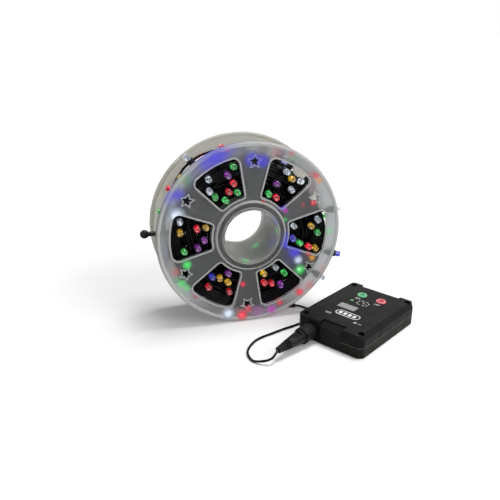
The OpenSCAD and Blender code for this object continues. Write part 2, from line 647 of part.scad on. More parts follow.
module battery_cells() color([0.2, 0.35, 0.25]) in_box() each_cell() rotate_extrude()
    polygon([[0, -cell_len / 2], [cell_r - 0.5, -cell_len / 2], [cell_r, -cell_len / 2 + 0.5], [cell_r, cell_len / 2 - 1.5],
             [cell_r - 0.5, cell_len / 2 - 1], [2.75, cell_len / 2 - 1], [2.75, cell_len / 2], [0, cell_len / 2]]);

// contact springs press on the flat ends
spring_r = 3.2;
spring_wire = 0.35;
spring_turns = 3;
spring_len = cell_room - wall - 1.2;
function spring_point(a, l) = [spring_r * cos(a), spring_r * sin(a), l];
module spring() {
    n = spring_turns * 12;
    run = spring_len - 2 * spring_wire - 0.1;
    ps = [for (i = [0 : n]) spring_point(30 * i, spring_wire + run * smooth(i / n))];
    ts = [for (i = [0 : n]) unit(spring_point(30 * i + 1, spring_wire + run * smooth((i + 0.033) / n))
                                 - spring_point(30 * i - 1, spring_wire + run * smooth((i - 0.033) / n)))];
    ns = [for (i = [0 : n]) square_to([cos(30 * i), sin(30 * i), 0], ts[i])];
    polyhedron(tube_points(ps, ts, ns, spring_wire, 6), tube_faces(len(ps), 6), 10);
}
module battery_springs() color([0.75, 0.75, 0.72]) in_box() each_cell()
    translate([0, 0, -cell_len / 2 - spring_len]) spring();

module battery_plates() color([0.75, 0.75, 0.72]) in_box() each_cell() {
    translate([-plate_half, -plate_up, -box_w / 2 + wall + gap]) cube([2 * plate_half, plate_up + plate_down, 1]);
    translate([-plate_half, -plate_up, box_w / 2 - wall - gap - 1]) cube([2 * plate_half, plate_up + plate_down, 1]);
    translate([0, 0, cell_len / 2 + gap]) cylinder(r = 2.4, h = box_w / 2 - wall - gap - 1 - cell_len / 2 - gap + e);
}

module control_board() color([0.1, 0.35, 0.2]) in_box() box_slab(board_from, board_to, 9.5, box_w - 9.5, board_z, board_z + board_t);
module controller_chip() color([0.08, 0.08, 0.08]) in_box()
    box_slab(board_mid - 0.6, board_mid + 5.4, box_w / 2 - 3, box_w / 2 + 3, board_z + board_t, board_z + board_t + 1.6);
module switch_domes() color([0.8, 0.8, 0.78]) in_box() for (y = button_y)
    translate([button_x, -y, board_z + board_t]) cylinder(r1 = 3, r2 = 2, h = dome_h);

module indicator_lens() color([0.3, 0.9, 0.3]) in_box() translate([indicator_x, -indicator_y, 0]) {
    translate([0, 0, ceiling - 0.9]) cylinder(r = 1.5, h = wall + 0.9 + 0.4);
    translate([0, 0, ceiling - 0.9]) cylinder(r = 2.2, h = 0.9 - gap);
}
module receiver_window() color([0.45, 0.47, 0.48]) in_box() {
    receiver_slab(0, ceiling - 0.2, box_h + 0.2);
    receiver_slab(1, ceiling - 1, ceiling - gap);
}

button_cap_z = box_h + 1.3;
button_foot = board_z + board_t + dome_h + gap + button_travel;
module button() rotate_extrude()
    polygon([[0, button_foot], [1.5, button_foot], [1.5, ceiling - 1.4], [button_r + 1.2, ceiling - 1.4],
             [button_r + 1.2, ceiling - 0.2], [button_r, ceiling - 0.2], [button_r, button_cap_z - 0.5],
             [button_r - 0.5, button_cap_z], [2.6, button_cap_z], [2.2, button_cap_z - 0.5], [0, button_cap_z - 0.5]]);
module green_button() color([0.1, 0.6, 0.3]) in_box() translate([button_x, -button_y[0], 0]) button();
module red_button() color([0.75, 0.1, 0.1]) in_box() translate([button_x, -button_y[1], 0]) button();

// connector: z runs out of the box along the plug

module on_plug() in_box() translate([0, -plug_side, plug_z]) rotate([0, -90, 0]) children();
module two_pins() for (s = [-1, 1]) translate([0, s * 1.6, 0]) children();

module socket_barrel() color([0.08, 0.08, 0.08]) on_plug() difference() {
    rotate_extrude() polygon([[0, -wall - 2], [barrel_r + 1.4, -wall - 2], [barrel_r + 1.4, -wall - 0.02], [barrel_r, -wall - 0.02],
        [barrel_r, barrel_len], [nose_r + 0.2, barrel_len], [nose_r + 0.2, 0.5], [0, 0.5]]);
    two_pins() translate([0, 0, -wall - 3]) cylinder(r = 0.62, h = wall + 5);
}
module socket_pins() color([0.8, 0.65, 0.3]) on_plug() two_pins() translate([0, 0, -wall - 4]) cylinder(r = 0.6, h = wall + 9.5);
module sealing_ring() color([0.25, 0.08, 0.05]) on_plug() rotate_extrude()
    translate([nose_r + 0.1 + ring_r, barrel_len + 0.05 + ring_r]) circle(ring_r);

module plug_body() color([0.07, 0.07, 0.07]) on_plug() difference() {
    rotate_extrude() polygon([[0, 1.2], [nose_r, 1.2], [nose_r, shoulder_z], [shoulder_r, shoulder_z], [shoulder_r, neck_z],
        [neck_r, neck_z], [neck_r, grip_z], [nut_r - 0.3, grip_z], [nut_r, grip_z + 0.3], [nut_r, grip_z + 1.6],
        [5.6, grip_z + 1.8], [5.4, grip_z + 8], [4.4, grip_end], [0, grip_end]]);
    two_pins() cylinder(r = 1, h = shoulder_z - 0.5);
    // two flats for the fingers
    for (s = [-1, 1]) translate([s > 0 ? 3.9 : -13.9, -10, grip_z + 4]) cube([10, 20, 10]);
}
module plug_contacts() color([0.8, 0.65, 0.3]) on_plug() two_pins() difference() {
    translate([0, 0, 1.3]) cylinder(r = 0.97, h = shoulder_z - 1.9);
    cylinder(r = 0.66, h = shoulder_z - 1);
}

module coupling_nut() color([0.06, 0.06, 0.06]) on_plug() difference() {
    rotate_extrude() polygon([[barrel_r + turn_gap, 0.6], [nut_r - 0.4, 0.6], [nut_r, 1], [nut_r, nut_end - 0.4], [nut_r - 0.4, nut_end],
        [neck_r + turn_gap, nut_end], [neck_r + turn_gap, neck_z + 0.05], [shoulder_r + turn_gap, neck_z + 0.05],
        [shoulder_r + turn_gap, barrel_len + 0.3], [barrel_r + turn_gap, barrel_len + 0.3]]);
    // grip grooves
    for (i = [0 : 17]) rotate(20 * i) translate([nut_r + 0.35, 0, 2]) cylinder(r = 0.75, h = nut_end - 3.6);
}

// ribs of the strain relief
module strain_relief() color([0.06, 0.06, 0.06]) on_plug() rotate_extrude()
    polygon(concat([[0, grip_end], [4.2, grip_end]],
        [for (i = [0 : 3]) each let (z = grip_end + 2 + i * (relief_len - 3) / 4, r = 4.2 - 0.35 * i)
            [[r, z], [2.6, z + 0.4], [2.6, z + (relief_len - 3) / 8 + 0.4], [r - 0.35, z + (relief_len - 3) / 8 + 0.8]]],
        [[2.8, relief_end - 0.4], [2.4, relief_end], [0, relief_end]]));

front_flange();
rear_flange();
hub_tube();
cable_core();
cable_winding();
string_end_cap();
front_bulb_holders();
rim_bulb_holders();
rear_bulb_holders();
red_lenses();
green_lenses();
blue_lenses();
yellow_lenses();
white_lenses();
purple_lenses();
front_led_frames();
rim_led_frames();
rear_led_frames();
lead_cable();
lead_sleeve();
strain_relief();
plug_body();
plug_contacts();
sealing_ring();
coupling_nut();
socket_barrel();
socket_pins();
case_top();
case_base();
case_gasket();
case_screws();
battery_door();
door_hinge_pin();
battery_cells();
battery_springs();
battery_plates();
control_board();
controller_chip();
switch_domes();
indicator_lens();
receiver_window();
green_button();
red_button();
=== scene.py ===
# LED string lights on a translucent reel with a battery box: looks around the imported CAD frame.
# Metres, +Z up, the CAD model's own frame. Sizes given in millimetres are scaled by MM.
import math

import bmesh
import bpy
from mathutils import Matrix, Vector


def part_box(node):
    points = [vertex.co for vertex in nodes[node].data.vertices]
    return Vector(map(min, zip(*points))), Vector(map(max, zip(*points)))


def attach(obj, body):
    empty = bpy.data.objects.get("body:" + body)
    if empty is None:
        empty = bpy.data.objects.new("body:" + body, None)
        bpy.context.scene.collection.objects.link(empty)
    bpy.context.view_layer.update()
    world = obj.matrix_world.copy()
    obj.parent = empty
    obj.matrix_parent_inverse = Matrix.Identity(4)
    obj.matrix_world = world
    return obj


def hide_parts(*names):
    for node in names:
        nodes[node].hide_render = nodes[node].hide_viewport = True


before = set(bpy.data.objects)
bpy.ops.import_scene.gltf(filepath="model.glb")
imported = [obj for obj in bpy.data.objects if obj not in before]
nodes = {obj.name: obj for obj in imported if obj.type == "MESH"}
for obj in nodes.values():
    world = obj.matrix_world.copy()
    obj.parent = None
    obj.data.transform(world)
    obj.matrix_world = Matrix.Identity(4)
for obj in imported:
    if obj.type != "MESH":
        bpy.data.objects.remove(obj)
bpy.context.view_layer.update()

MM = 0.001
ROOT = "reel_and_box"
CABLE_D = 2.0
FLOOR_Z = -80.0

scene = bpy.context.scene
scene.view_settings.view_transform = "Standard"


# camera at the photograph's viewing angle

SENSOR_WIDTH = 36.0
FOCAL_LENGTH = 43.2
CAMERA_REACH = 50.0
CAMERA_PLACE = (-0.1238, -0.4823, 0.1743)
CAMERA_TILT = math.radians(68.5)
CAMERA_TURN = math.radians(-15.0)


def make_camera():
    data = bpy.data.cameras.new("camera")
    data.sensor_width = SENSOR_WIDTH
    data.lens = FOCAL_LENGTH
    data.clip_end = CAMERA_REACH
    cam = bpy.data.objects.new("camera", data)
    cam.location = CAMERA_PLACE
    cam.rotation_euler = (CAMERA_TILT, 0.0, CAMERA_TURN)
    scene.collection.objects.link(cam)
    scene.camera = cam


make_camera()


# cords: smooth curves through points given in millimetres

ROUNDING = 2


def smooth_curve(name, points, diameter, steps):
    data = bpy.data.curves.new(name, "CURVE")
    data.dimensions = "3D"
    data.resolution_u = steps
    data.bevel_depth = diameter * MM / 2
    data.bevel_resolution = ROUNDING
    data.use_fill_caps = True
    spline = data.splines.new("BEZIER")
    last = len(points) - 1
    spline.bezier_points.add(last)
    for i, p in enumerate(points):
        before = points[max(i - 1, 0)]
        after = points[min(i + 1, last)]
        handle = (after - before) / 6
        knot = spline.bezier_points[i]
        knot.co = p * MM
        knot.handle_left = (p - handle) * MM
        knot.handle_right = (p + handle) * MM
    obj = bpy.data.objects.new(name, data)
    scene.collection.objects.link(obj)
    return obj


def length_of(points):
    return sum((b - a).length for a, b in zip(points, points[1:])) * MM


# the winding: radii and places along the axis in millimetres, its tail's angle in degrees
TAIL_ANGLE = 178.0
POINTS_PER_TURN = 16
STRING_STEPS = 3
WIND_R = 61.0
WIND_HALF = 13.5
UNDER_R = 58.9
UNDER_HALF = 11.4
FACE_IN = 34.3
UNDER_IN = 33.4
TAIL_Y = -4.91
LEAD_Y = -1.93
LEAD_TURNS = 6.2278
SIDE_LIMIT = 17.6
FACE_SPAN = 5.0
EASE_TURNS = 0.3
TINY = 1e-9

# slack turns hang below the others, close behind the front flange;
# the shape gives the share of slack at an angle in degrees, and without slack a turn is tucked in
LOW_PASS = 1
LOW_TURNS = 6.0
LOW_STEP = 1.65
LOW_START = 2.3
LOW_FORWARD = 3.3
LOW_WOBBLE = 0.12
TUCK_STEP = 1.6
TUCK_FORWARD = 1.4
LOW_SHAPE = [(0, 1.2), (25, 0.65), (50, 0.0), (120, 0.0), (150, 0.60), (180, 1.0), (225, 1.1), (270, 1.2),
             (315, 1.25), (345, 1.25), (360, 1.2)]

# high turns stand off the top left of the winding; the shape gives the share of lift at an angle in degrees
HIGH_PASS = 9
HIGH_TURNS = 4.0
HIGH_R = WIND_R + 2.0
HIGH_Y = 4.0
HIGH_LIFT = 6.8
HIGH_SWAY = 1.2
HIGH_SWAY_RATE = 4.1
HIGH_SHAPE = [(0, 0.0), (66, 0.0), (96, 0.75), (122, 0.85), (142, 1.0), (165, 0.95), (195, 0.8), (235, 0.0),
              (360, 0.0)]

# loops that stand off the high turns: turn, middle in degrees, half width in degrees, mm of lift
HIGH_LOOPS = [(1, 120.0, 24.0, 4.5), (2, 146.0, 20.0, 2.0), (3, 98.0, 20.0, 3.5)]

# passes from the tail to the lead: turns, radius from and to, place along the axis from and to, loose or not
PASSES = [
    (4.0, WIND_R, WIND_R, TAIL_Y, -WIND_HALF, True),
    (LOW_TURNS, WIND_R, WIND_R, -WIND_HALF, -WIND_HALF, True),
    (8.0, WIND_R, FACE_IN, -WIND_HALF, -WIND_HALF, True),
    (0.5, FACE_IN, UNDER_IN, -WIND_HALF, -UNDER_HALF, False),
    (12.0, UNDER_IN, UNDER_R, -UNDER_HALF, -UNDER_HALF, False),
    (10.5, UNDER_R, UNDER_R, -UNDER_HALF, UNDER_HALF, False),
    (12.0, UNDER_R, UNDER_IN, UNDER_HALF, UNDER_HALF, False),
    (0.5, UNDER_IN, FACE_IN, UNDER_HALF, WIND_HALF, False),
    (8.5, FACE_IN, WIND_R, WIND_HALF, WIND_HALF, True),
    (HIGH_TURNS, HIGH_R, HIGH_R, WIND_HALF, HIGH_Y, True),
    (1.0, HIGH_R, WIND_R, HIGH_Y, WIND_HALF, True),
    (LEAD_TURNS, WIND_R, WIND_R, WIND_HALF, LEAD_Y, True),
]

# places where a turn strays over its neighbours: turns from the tail, half width in turns,
# mm sideways, mm of lift; the lift is wider than the stray, and flat on top
LIFT_WIDTH = 1.5
LIFT_GAIN = 1.6
STRAYS = [
    (0.85, 0.10, 1.5, 4.5), (1.90, 0.07, -2.0, 3.5), (2.84, 0.09, 2.2, 5.5), (3.45, 0.10, 1.5, 2.4),
    (10.30, 0.16, 3.0, 1.2), (10.62, 0.12, 3.6, 1.8), (11.05, 0.18, -6.0, 2.2), (11.55, 0.14, 5.0, 2.2),
    (12.10, 0.20, -8.0, 2.3), (12.72, 0.13, 6.0, 2.1), (13.25, 0.18, -7.0, 2.3), (13.80, 0.12, 5.5, 2.2),
    (14.35, 0.20, -6.5, 2.3), (14.90, 0.15, 6.5, 2.2), (15.45, 0.18, 7.0, 2.3), (16.10, 0.16, 6.0, 2.2),
    (16.70, 0.14, 7.5, 2.2), (54.60, 0.18, 6.0, 2.2), (55.70, 0.16, 7.0, 2.2), (56.80, 0.18, -6.0, 2.2),
    (57.90, 0.15, 6.5, 2.2), (59.10, 0.18, -7.0, 2.2), (60.20, 0.14, -5.5, 2.2), (67.60, 0.10, 2.5, 3.2),
    (68.45, 0.09, -2.6, 4.6), (69.30, 0.12, 2.4, 2.5), (70.15, 0.08, -2.4, 5.0), (71.20, 0.12, 2.0, 2.4),
]

# wobble of every turn, and of the loose ones: mm, waves per turn, phase
ALONG_WAVES = [(0.45, 3.0, 0.7), (0.3, 5.0, 1.9)]
OUT_WAVES = [(0.12, 4.0, 1.2)]
LOOSE_ALONG_WAVES = [(0.5, 1.37, 2.0), (0.35, 2.61, 0.0)]
LOOSE_OUT_WAVES = [(0.15, 1.83, 0.4)]


def half_wave(t):
    return 0.5 - 0.5 * math.cos(math.pi * t)


def waves(table, angle):
    return sum(size * math.sin(rate * angle + phase) for size, rate, phase in table)


def bump(s, middle, half):
    t = abs(s - middle) / half
    if t >= 1:
        return 0.0
    return 0.5 + 0.5 * math.cos(math.pi * t)


def lift_bump(s, middle, half):
    return min(1.0, LIFT_GAIN * bump(s, middle, LIFT_WIDTH * half))


def slack_share(shape, angle):
    degrees = math.degrees(angle) % 360
    for (a, low), (b, high) in zip(shape, shape[1:]):
        if degrees <= b:
            return low + (high - low) * half_wave((degrees - a) / (b - a))
    return shape[-1][1]


def eased(turn, turns):
    ends = min(1.0, turn / EASE_TURNS, (turns - turn) / EASE_TURNS)
    return half_wave(max(ends, 0.0))


def low_shift(turn, angle):
    share = slack_share(LOW_SHAPE, angle)
    tuck = max(1 - share, 0.0)
    ease = eased(turn, LOW_TURNS)
    outward = ease * (share * (LOW_STEP * turn - LOW_START) - tuck * TUCK_STEP * turn)
    forward = ease * (LOW_FORWARD * share + TUCK_FORWARD * tuck)
    return outward, forward


def high_shift(turn, angle):
    share = slack_share(HIGH_SHAPE, angle)
    lift = share * (HIGH_LIFT + HIGH_SWAY * math.sin(HIGH_SWAY_RATE * turn))
    degrees = math.degrees(angle) % 360
    for number, middle, half, height in HIGH_LOOPS:
        if int(turn) == number:
            lift += height * bump(degrees, middle, half)
    return eased(turn, HIGH_TURNS) * lift


def wobble(s, angle, loose):
    along = waves(ALONG_WAVES, angle)
    out = waves(OUT_WAVES, angle)
    if loose:
        along += waves(LOOSE_ALONG_WAVES, angle)
        out += waves(LOOSE_OUT_WAVES, angle)
    for middle, half, sideways, lift in STRAYS:
        along += sideways * bump(s, middle, half)
        out += lift * lift_bump(s, middle, half)
    return along, out


def pass_limits():
    limits = [0.0]
    for row in PASSES:
        limits.append(limits[-1] + row[0])
    return limits


def winding_points():
    points = []
    limits = pass_limits()
    total = limits[-1]
    count = round(total * POINTS_PER_TURN)
    for i in range(count + 1):
        s = total * i / count
        number = next(n for n, end in enumerate(limits[1:]) if s <= end + TINY)
        start = limits[number]
        turns, r0, r1, y0, y1, loose = PASSES[number]
        t = min(max((s - start) / turns, 0.0), 1.0)
        r = r0 + (r1 - r0) * t
        y = y0 + (y1 - y0) * t
        angle = math.radians(TAIL_ANGLE) + 2 * math.pi * s
        along, out = wobble(s, angle, loose)
        quiet = min(1.0, s / EASE_TURNS, (total - s) / EASE_TURNS)
        if number == LOW_PASS:
            outward, forward = low_shift(s - start, angle)
            r += outward + LOW_WOBBLE * along
            y -= forward
        elif number == HIGH_PASS:
            r += high_shift(s - start, angle) + out
            y += along
        elif abs(r1 - r0) > FACE_SPAN:
            side = -1.0 if y < 0 else 1.0
            r += quiet * along
            y += quiet * side * out
        else:
            r += quiet * out
            if loose:
                y += quiet * along
        y = min(max(y, -SIDE_LIMIT), SIDE_LIMIT)
        points.append(Vector((r * math.cos(angle), y, r * math.sin(angle))))
    return points


wound = winding_points()
wound_string = smooth_curve("wound_string", wound, CABLE_D, STRING_STEPS)

# the lead: the route of the CAD lead, from the winding over the floor to the plug;
# on the floor a point is x, y and the rise over it
LEAD_STEPS = 6
LEAD_CLEAR = 0.05
LEAD_Z = FLOOR_Z + CABLE_D / 2 + LEAD_CLEAR
LEAD_START = Vector((-8.62, -1.95, -60.42))
LEAD_DIP = [(-0.74, -1.95, -61.81), (12, -1.95, -68), (22, -3, -72.5)]
LEAD_FLOOR = [
    (32, -6, 2.2), (41.5, -9, 1.45), (50, -12.2, 0.75), (56, -19, 0), (55.5, -28, 0), (48.5, -37, 0),
    (36, -44, 0), (24, -48, 0), (11, -53, 0), (-1, -58, 0), (-9, -64, 0), (-16, -74, 0),
    (-18, -84, 0), (-15, -93, 0.5),
]
BOX_YAW = math.radians(33.0)
BOX_WAY = Vector((math.cos(BOX_YAW), math.sin(BOX_YAW), 0.0))
SIDE_WAY = Vector((math.sin(BOX_YAW), -math.cos(BOX_YAW), 0.0))
BOX_CORNER = Vector((31.0, -57.5, FLOOR_Z))
PLUG_SIDE = 15
PLUG_REACH = 43
PLUG_RISE = 9
PLUG_TIP = BOX_CORNER + PLUG_SIDE * SIDE_WAY - PLUG_REACH * BOX_WAY + Vector((0, 0, PLUG_RISE))
LEAD_APPROACH = 9
LEAD_SAG = 4.05
LEAD_INSET = 1.5


def lead_points():
    points = [LEAD_START]
    points += [Vector(p) for p in LEAD_DIP]
    points += [Vector((x, y, LEAD_Z + rise)) for x, y, rise in LEAD_FLOOR]
    points.append(PLUG_TIP - LEAD_APPROACH * BOX_WAY - Vector((0, 0, LEAD_SAG)))
    points.append(PLUG_TIP)
    points.append(PLUG_TIP + LEAD_INSET * BOX_WAY)
    return points


lead = smooth_curve("string_lead", lead_points(), CABLE_D, LEAD_STEPS)


# shader nodes: a value is either another node's socket or a plain number or colour

def feed(tree, value, socket):
    if isinstance(value, bpy.types.NodeSocket):
        tree.links.new(value, socket)
    else:
        socket.default_value = value


def scalar_math(tree, operation, first, second=None):
    node = tree.nodes.new("ShaderNodeMath")
    node.operation = operation
    feed(tree, first, node.inputs[0])
    if second is not None:
        feed(tree, second, node.inputs[1])
    return node.outputs["Value"]


def vector_math(tree, operation, first, second=None, scale=None):
    node = tree.nodes.new("ShaderNodeVectorMath")
    node.operation = operation
    feed(tree, first, node.inputs[0])
    if second is not None:
        feed(tree, second, node.inputs[1])
    if scale is not None:
        feed(tree, scale, node.inputs["Scale"])
    return node.outputs["Value" if operation in ("DISTANCE", "LENGTH") else "Vector"]


def noise(tree, coords, scale, detail):
    node = tree.nodes.new("ShaderNodeTexNoise")
    node.inputs["Scale"].default_value = scale
    node.inputs["Detail"].default_value = detail
    tree.links.new(coords, node.inputs["Vector"])
    return node.outputs["Fac"]


def ranged(tree, value, low, high, start=0.3, end=0.7, shape="LINEAR"):
    node = tree.nodes.new("ShaderNodeMapRange")
    node.interpolation_type = shape
    node.inputs["From Min"].default_value = start
    node.inputs["From Max"].default_value = end
    node.inputs["To Min"].default_value = low
    node.inputs["To Max"].default_value = high
    tree.links.new(value, node.inputs["Value"])
    return node.outputs["Result"]


def mixed(tree, value, first, second):
    node = tree.nodes.new("ShaderNodeMix")
    node.data_type = "RGBA"
    tree.links.new(value, node.inputs["Factor"])
    sockets = [s for s in node.inputs if s.type == "RGBA"]
    for colour, socket in zip((first, second), sockets):
        plain = not isinstance(colour, bpy.types.NodeSocket)
        feed(tree, (*colour, 1.0) if plain else colour, socket)
    return next(s for s in node.outputs if s.type == "RGBA")


def shade(colour, factor):
    return [min(c * factor, 1.0) for c in colour]


def flat_radius(tree, coords, keep):
    return vector_math(tree, "LENGTH", vector_math(tree, "MULTIPLY", coords, keep))


# materials; a noise is its scale and its detail

GRAIN_DEPTH = 0.1 * MM
GRAIN_DETAIL = 2.0
ROUGH_SPREAD = 0.15
PATCHES = (70.0, 3.0)
SMUDGES = (160.0, 4.0)


def new_material(name):
    mat = bpy.data.materials.new(name)
    mat.use_nodes = True
    tree = mat.node_tree
    bsdf = tree.nodes["Principled BSDF"]
    coords = tree.nodes.new("ShaderNodeTexCoord").outputs["Object"]
    return mat, tree, bsdf, coords


def set_sockets(bsdf, sockets):
    for socket, value in sockets.items():
        bsdf.inputs[socket].default_value = value


def patchy(tree, coords, patches, dark, light):
    share = ranged(tree, noise(tree, coords, *patches), 0.0, 1.0)
    return mixed(tree, share, dark, light)


def smudged(tree, bsdf, coords, smudges, low, high):
    rough = ranged(tree, noise(tree, coords, *smudges), low, high)
    tree.links.new(rough, bsdf.inputs["Roughness"])


def bumped(tree, bsdf, height, strength, distance=GRAIN_DEPTH):
    node = tree.nodes.new("ShaderNodeBump")
    node.inputs["Strength"].default_value = strength
    node.inputs["Distance"].default_value = distance
    tree.links.new(height, node.inputs["Height"])
    tree.links.new(node.outputs["Normal"], bsdf.inputs["Normal"])


def plastic(name, colour, rough, grain, grain_size, vary, sockets):
    mat, tree, bsdf, coords = new_material(name)
    paint = patchy(tree, coords, PATCHES, shade(colour, 1 - vary), shade(colour, 1 + vary))
    tree.links.new(paint, bsdf.inputs["Base Color"])
    high = min(rough * (1 + ROUGH_SPREAD), 1.0)
    smudged(tree, bsdf, coords, SMUDGES, rough * (1 - ROUGH_SPREAD), high)
    bumped(tree, bsdf, noise(tree, coords, 1.0 / (grain_size * MM), GRAIN_DETAIL), grain)
    set_sockets(bsdf, sockets)
    return mat


# painted glow: each spot paints bulb light into the plastic's emission, fading out over its size
def painted_glow_colour(tree, coords, spots):
    total = None
    for place, radius, colour, strength in spots:
        far = vector_math(tree, "DISTANCE", coords, [c * MM for c in place])
        fall = ranged(tree, far, 1.0, 0.0, 0.0, radius * MM, "SMOOTHERSTEP")
        tint = vector_math(tree, "SCALE", [c * strength for c in colour], scale=fall)
        total = tint if total is None else vector_math(tree, "ADD", total, tint)
    return total


# painted light: where a painted bulb glow fills the plastic, its base colour is painted darker, so less of
# its own grey is left
GREY_LEFT = 0.2
GLOW_FULL = 0.45


def dimmed_under_painted_glow(tree, paint, glow):
    level = vector_math(tree, "LENGTH", glow)
    return vector_math(tree, "SCALE", paint, scale=ranged(tree, level, 1.0, GREY_LEFT, 0.0, GLOW_FULL))


# zones of a flange: its raised edges by depth, the hub's ring and the outer rim by radius; the raised edges
# are painted paler, partly their own frosted colour and partly a painted highlight where they catch the
# light
RAISED = (23.25 * MM, 23.45 * MM)
RING_R = (28.9 * MM, 29.2 * MM)
RIM_R = (66.0 * MM, 72.0 * MM)


def reel_zones(tree, coords):
    parts = tree.nodes.new("ShaderNodeSeparateXYZ")
    tree.links.new(coords, parts.inputs["Vector"])
    depth = scalar_math(tree, "ABSOLUTE", parts.outputs["Y"])
    reach = flat_radius(tree, coords, (1.0, 0.0, 1.0))
    raised = ranged(tree, depth, 0.0, 1.0, *RAISED)
    edges = scalar_math(tree, "MULTIPLY", raised, ranged(tree, reach, 0.0, 1.0, *RING_R))
    ring = scalar_math(tree, "MULTIPLY", raised, ranged(tree, reach, 1.0, 0.0, *RING_R))
    rim = ranged(tree, reach, 0.0, 1.0, *RIM_R)
    return edges, ring, rim


FROST_SOCKETS = {"Emission Strength": 1.0, "IOR": 1.3, "Specular IOR Level": 0.4}
FROST_PATCHES = (45.0, 4.0)
FROST_SMUDGES = (120.0, 4.0)
FROST_GRAIN = (900.0, GRAIN_DETAIL)
FROST_BUMP = 0.15
FROST_DARK = 0.93
FROST_LIGHT = 1.05
RIM_PAINT = 1.2
RING_PAINT = 0.7
RIM_CLEAR = 0.85
EDGE_CLEAR = 0.3


def frosted(name, colour, rough, transmission, spots, edge_frost_and_highlight):
    mat, tree, bsdf, coords = new_material(name)
    paint = patchy(tree, coords, FROST_PATCHES, shade(colour, FROST_DARK), shade(colour, FROST_LIGHT))
    bsdf.inputs["Transmission Weight"].default_value = transmission
    if edge_frost_and_highlight:
        edges, ring, rim = reel_zones(tree, coords)
        paint = mixed(tree, rim, paint, shade(colour, RIM_PAINT))
        # raised edges painted paler: partly their own frosted colour, partly a painted highlight where they
        # catch the light
        paint = mixed(tree, edges, paint, edge_frost_and_highlight)
        paint = mixed(tree, ring, paint, shade(colour, RING_PAINT))
        clear = ranged(tree, rim, transmission, transmission * RIM_CLEAR, 0.0, 1.0)
        clear = scalar_math(tree, "MULTIPLY", clear, ranged(tree, edges, 1.0, EDGE_CLEAR, 0.0, 1.0))
        tree.links.new(clear, bsdf.inputs["Transmission Weight"])
    # painted glow of the bulbs in the emission, with the base colour painted darker under it
    glow = painted_glow_colour(tree, coords, spots)
    tree.links.new(glow, bsdf.inputs["Emission Color"])
    tree.links.new(dimmed_under_painted_glow(tree, paint, glow), bsdf.inputs["Base Color"])
    smudged(tree, bsdf, coords, FROST_SMUDGES, rough * (1 - ROUGH_SPREAD), rough * (1 + ROUGH_SPREAD))
    bumped(tree, bsdf, noise(tree, coords, *FROST_GRAIN), FROST_BUMP)
    set_sockets(bsdf, FROST_SOCKETS)
    return mat


# the dished middle of a button is deeper in colour than the ring around it
DISH_R = (2.1 * MM, 2.6 * MM)
CAP_ROUGH = (0.30, 0.42)
CAP_PATCHES = (400.0, 3.0)
CAP_SMUDGES = (300.0, 3.0)
CAP_GRAIN = (2000.0, GRAIN_DETAIL)
CAP_BUMP = 0.2
CAP_DARK = 0.85


def button_cap(name, node, middle, ring):
    low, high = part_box(node)
    centre = [(a + b) / 2 for a, b in zip(low, high)]
    mat, tree, bsdf, coords = new_material(name)
    away = vector_math(tree, "SUBTRACT", coords, (centre[0], centre[1], 0.0))
    outside = ranged(tree, flat_radius(tree, away, (1.0, 1.0, 0.0)), 0.0, 1.0, *DISH_R)
    inner = patchy(tree, coords, CAP_PATCHES, shade(middle, CAP_DARK), middle)
    tree.links.new(mixed(tree, outside, inner, ring), bsdf.inputs["Base Color"])
    smudged(tree, bsdf, coords, CAP_SMUDGES, *CAP_ROUGH)
    bumped(tree, bsdf, noise(tree, coords, *CAP_GRAIN), CAP_BUMP)
    return mat


# a lens is clear, its light swirls from dark to full colour and is pale where it is hottest
LENS_SOCKETS = {"Roughness": 0.07, "Transmission Weight": 0.88, "IOR": 1.5, "Coat Weight": 0.8,
                "Coat Roughness": 0.05}
SWIRL = (480.0, 1.0)
SWIRL_RANGE = (0.42, 0.68)
HOT_RANGE = (0.60, 0.78)
HOT_PALE = 0.35
LENS_DARK = 0.35
SHINE_DARK = 0.08
RIPPLE = (500.0, 1.0)
RIPPLE_BUMP = 0.25
RIPPLE_DEPTH = 0.2 * MM


def lens(name, colour, low, high):
    mat, tree, bsdf, coords = new_material(name)
    island = tree.nodes.new("ShaderNodeNewGeometry").outputs["Random Per Island"]
    swirl = noise(tree, coords, *SWIRL)
    share = ranged(tree, swirl, 0.0, 1.0, *SWIRL_RANGE)
    tree.links.new(mixed(tree, share, shade(colour, LENS_DARK), colour), bsdf.inputs["Base Color"])
    shine = mixed(tree, share, shade(colour, SHINE_DARK), colour)
    pale = [HOT_PALE + (1 - HOT_PALE) * c for c in colour]
    shine = mixed(tree, ranged(tree, swirl, 0.0, 1.0, *HOT_RANGE), shine, pale)
    tree.links.new(shine, bsdf.inputs["Emission Color"])
    tree.links.new(ranged(tree, island, low, high, 0.0, 1.0), bsdf.inputs["Emission Strength"])
    bumped(tree, bsdf, noise(tree, coords, *RIPPLE), RIPPLE_BUMP, RIPPLE_DEPTH)
    set_sockets(bsdf, LENS_SOCKETS)
    return mat


# glows of bulbs behind the frosted plastic, painted into its emission as spots of light: radius and degrees
# round the axis, size, colour, strength

RED = (1.0, 0.06, 0.10)
GREEN = (0.10, 0.85, 0.18)
BLUE = (0.12, 0.10, 1.0)
WHITE = (0.75, 0.85, 1.0)
ORANGE = (1.0, 0.45, 0.08)
MAGENTA = (0.8, 0.08, 0.75)
FRONT_DEPTH = -22.0
REAR_DEPTH = 22.0


def spot(depth, radius, degrees, size, colour, strength):
    a = math.radians(degrees)
    return (radius * math.cos(a), depth, radius * math.sin(a)), size, colour, strength


